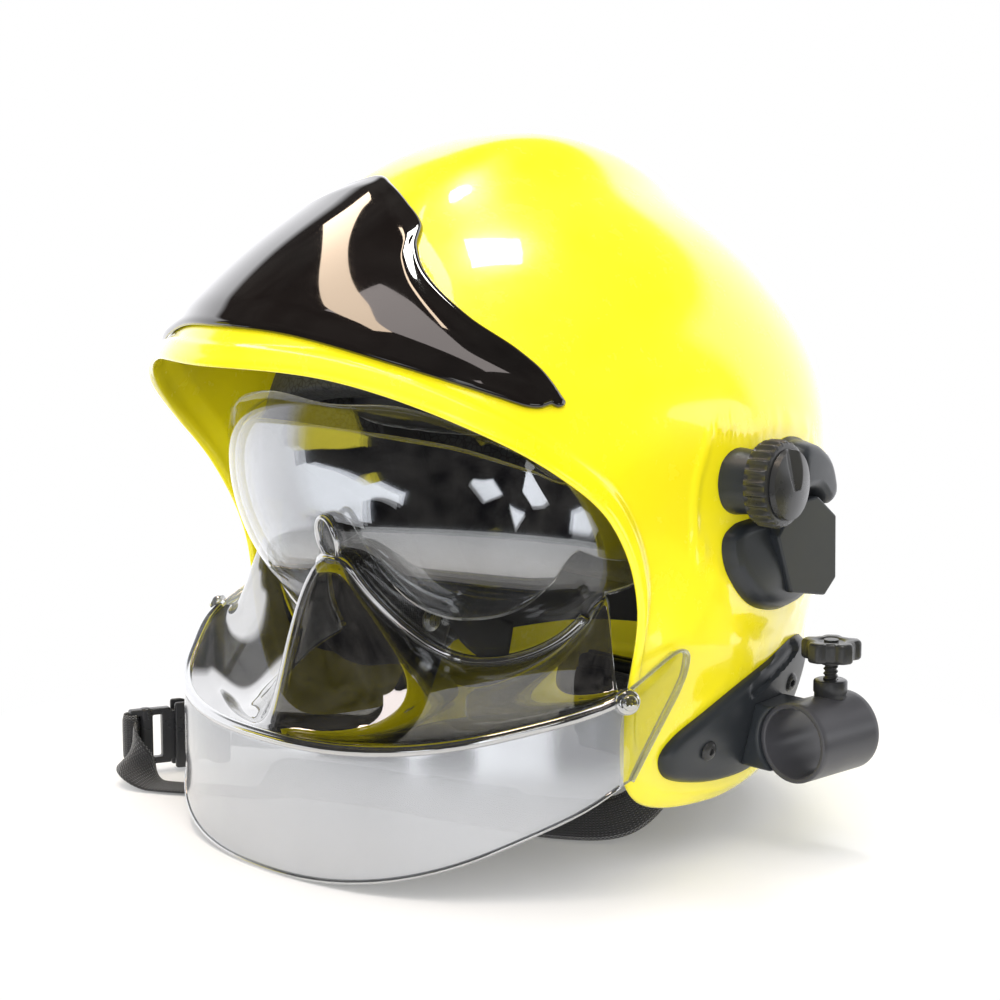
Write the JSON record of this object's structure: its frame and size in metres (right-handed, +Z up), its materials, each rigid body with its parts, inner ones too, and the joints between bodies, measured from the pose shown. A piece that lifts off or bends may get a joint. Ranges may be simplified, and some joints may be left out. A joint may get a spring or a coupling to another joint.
{
  "type": "firefighter helmet",
  "caption": "Jet-style firefighter helmet with a hinged face shield, an inner ocular visor, a side torch clamp, a size ratchet and a quick-release chin strap.",
  "frame": {"origin": "middle of the bounding box at floor level, under the crown", "axes": "+Z up, -Y the wearer's front, +X the wearer's left"},
  "size_m": [0.3152, 0.3124, 0.2933],
  "materials": {
    "shell_yellow": "fluorescent yellow gloss paint over a moulded shell",
    "plate_black": "mirror-gloss black",
    "shield_clear": "clear polycarbonate, polished",
    "visor_clear": "clear polycarbonate, hard coated",
    "stud_clear": "clear plastic",
    "liner_black": "matt moulded foam",
    "satin_black": "satin moulded black nylon",
    "tube_grey": "satin dark grey",
    "rack_grey": "matt",
    "foam_black": "fabric-covered foam",
    "webbing_black": "woven polyester webbing",
    "steel": "plain"
  },
  "bodies": {
    "shell": {"bracket_arm": "satin_black", "bracket_base": "satin_black", "bracket_slab": "satin_black", "bracket_wedge": "satin_black", "brim_stud_left": "stud_clear", "brim_stud_right": "stud_clear", "brow_pad": "foam_black", "buckle_female": "satin_black", "cheek_pad_left": "foam_black", "cheek_pad_right": "foam_black", "chin_cup": "foam_black", "chin_strap_left": "webbing_black", "chin_strap_right": "webbing_black", "clamp_boss": "satin_black", "crown_pad": "foam_black", "crown_strap_cross": "webbing_black", "crown_strap_long": "webbing_black", "front_plate": "plate_black", "headband": "satin_black", "impact_liner": "liner_black", "nape_cover": "satin_black", "nape_housing": "satin_black", "nape_pad": "foam_black", "outer_shell": "shell_yellow", "pivot_clip_left": "steel", "pivot_clip_right": "steel", "pivot_pin_left": "steel", "pivot_pin_right": "steel", "plate_screw_left_1": "steel", "plate_screw_left_2": "steel", "plate_screw_right_1": "steel", "plate_screw_right_2": "steel", "side_plate_left": "satin_black", "side_plate_right": "satin_black", "strap_anchor_left": "steel", "strap_anchor_right": "steel", "torch_bracket": "satin_black", "torch_tube": "tube_grey"},
    "face_shield": {"face_shield": "shield_clear", "shield_hub_left": "satin_black", "shield_hub_right": "satin_black"},
    "ocular_visor": {"ocular_visor": "visor_clear", "ocular_hub_left": "satin_black", "ocular_hub_right": "satin_black"},
    "bracket_knob": {"bracket_knob": "satin_black", "bracket_knob_face": "satin_black"},
    "clamp_pad": {"clamp_pad": "satin_black"},
    "clamp_screw": {"clamp_screw": "satin_black", "clamp_knob": "satin_black"},
    "ratchet_knob": {"ratchet_knob": "satin_black", "ratchet_shaft": "steel", "ratchet_pinion": "satin_black"},
    "rack_left": {"rack_left": "rack_grey"},
    "rack_right": {"rack_right": "rack_grey"},
    "buckle_male": {"buckle_male": "satin_black", "webbing_loop": "webbing_black"}
  },
  "joints": [
    {"name": "face_shield_hinge", "type": "hinge", "parent": "shell", "child": "face_shield", "pos_m": [0, 0.002, 0.158], "axis": [-1, 0, 0], "range_deg": [0, 40]},
    {"name": "ocular_visor_hinge", "type": "hinge", "parent": "shell", "child": "ocular_visor", "pos_m": [0, 0.002, 0.158], "axis": [-1, 0, 0], "range_deg": [0, 40]},
    {"name": "bracket_knob_turn", "type": "hinge", "parent": "shell", "child": "bracket_knob", "pos_m": [0.14309, 0.01555, 0.1573], "axis": [0.9852, 0.17, 0.02], "continuous": true},
    {"name": "clamp_pad_slide", "type": "slide", "parent": "shell", "child": "clamp_pad", "axis": [0, 0, -1], "range_m": [0, 0.006]},
    {"name": "clamp_screw_turn", "type": "hinge", "parent": "clamp_pad", "child": "clamp_screw", "pos_m": [0.141, 0.057, 0.075], "axis": [0, 0, -1], "range_deg": [0, 1080]},
    {"name": "ratchet_knob_turn", "type": "hinge", "parent": "shell", "child": "ratchet_knob", "pos_m": [0, 0.1063, 0.021], "axis": [0, 1, 0], "range_deg": [-70, 70]},
    {"name": "rack_left_slide", "type": "slide", "parent": "shell", "child": "rack_left", "axis": [1, 0, 0], "range_m": [-0.0075, 0.0075]},
    {"name": "rack_right_slide", "type": "slide", "parent": "shell", "child": "rack_right", "axis": [-1, 0, 0], "range_m": [-0.0075, 0.0075]},
    {"name": "buckle_release", "type": "slide", "parent": "shell", "child": "buckle_male", "axis": [-0.3499, -0.9368, 0], "range_m": [0, 0.022]}
  ],
  "couplings": [
    {"joint": "clamp_screw_turn", "follows": "clamp_pad_slide", "rad_per_m": 3141.6},
    {"joint": "rack_left_slide", "follows": "ratchet_knob_turn", "m_per_rad": 0.006},
    {"joint": "rack_right_slide", "follows": "ratchet_knob_turn", "m_per_rad": 0.006}
  ]
}
